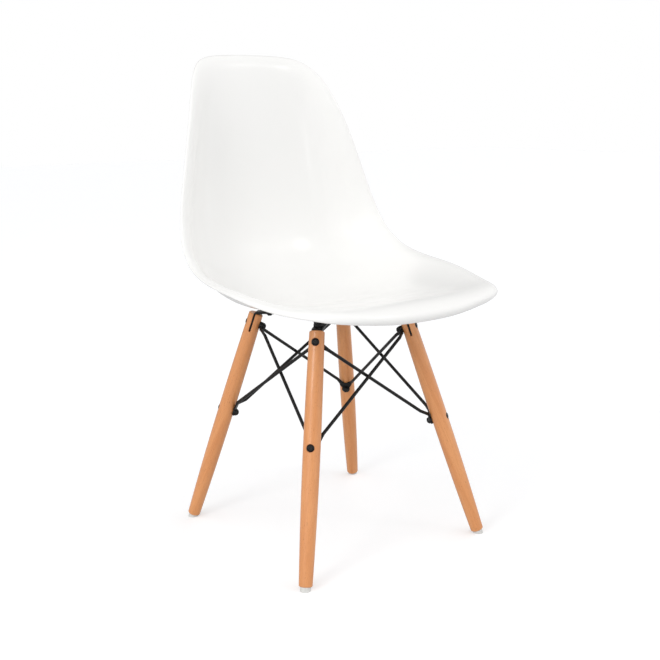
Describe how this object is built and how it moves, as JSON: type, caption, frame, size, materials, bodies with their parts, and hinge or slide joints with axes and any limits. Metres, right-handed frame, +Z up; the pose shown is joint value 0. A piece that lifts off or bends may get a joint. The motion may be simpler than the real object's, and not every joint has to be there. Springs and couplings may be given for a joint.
{
  "type": "dining chair",
  "caption": "Side chair with a moulded bucket seat shell on splayed turned wooden legs, joined by a crossed steel frame and rod braces.",
  "frame": {"origin": "on the floor, at the middle of the overall footprint, which is also the centre of the square of the four feet", "axes": "+Z up, the sitter faces -Y, +X is at the right-hand side of someone looking along +Y at the front"},
  "size_m": [0.474, 0.5131, 0.8323],
  "materials": {
    "shell_plastic": "satin moulded",
    "insert_brass": "machined",
    "mount_rubber": "matt",
    "black_hardware": "black coated, satin",
    "frame_paint": "black powder coat, satin",
    "leg_wood": "clear satin lacquer on beech",
    "glide_plastic": "smooth",
    "nail_steel": "bright"
  },
  "bodies": {
    "root": {"seat_shell": "shell_plastic", "threaded_inserts": "insert_brass", "shock_mount_front_left": "mount_rubber", "shock_mount_rear_left": "mount_rubber", "shock_mount_front_right": "mount_rubber", "shock_mount_rear_right": "mount_rubber", "seat_screws_front": "black_hardware", "seat_screws_rear": "black_hardware", "seat_screw_washers": "black_hardware", "cross_bar_lower": "frame_paint", "cross_bar_upper": "frame_paint", "leg_rear_right": "leg_wood", "glide_rear_right": "glide_plastic", "brace_rear_right": "frame_paint", "leg_rear_left": "leg_wood", "glide_rear_left": "glide_plastic", "brace_rear_left": "frame_paint", "leg_front_left": "leg_wood", "glide_front_left": "glide_plastic", "brace_front_left": "frame_paint", "leg_front_right": "leg_wood", "glide_front_right": "glide_plastic", "brace_front_right": "frame_paint", "glide_nails": "nail_steel", "upper_bolts": "black_hardware", "lower_bolts": "black_hardware", "upper_cap_nuts": "black_hardware", "lower_cap_nuts": "black_hardware", "upper_washers": "black_hardware", "lower_washers": "black_hardware"}
  },
  "joints": []
}
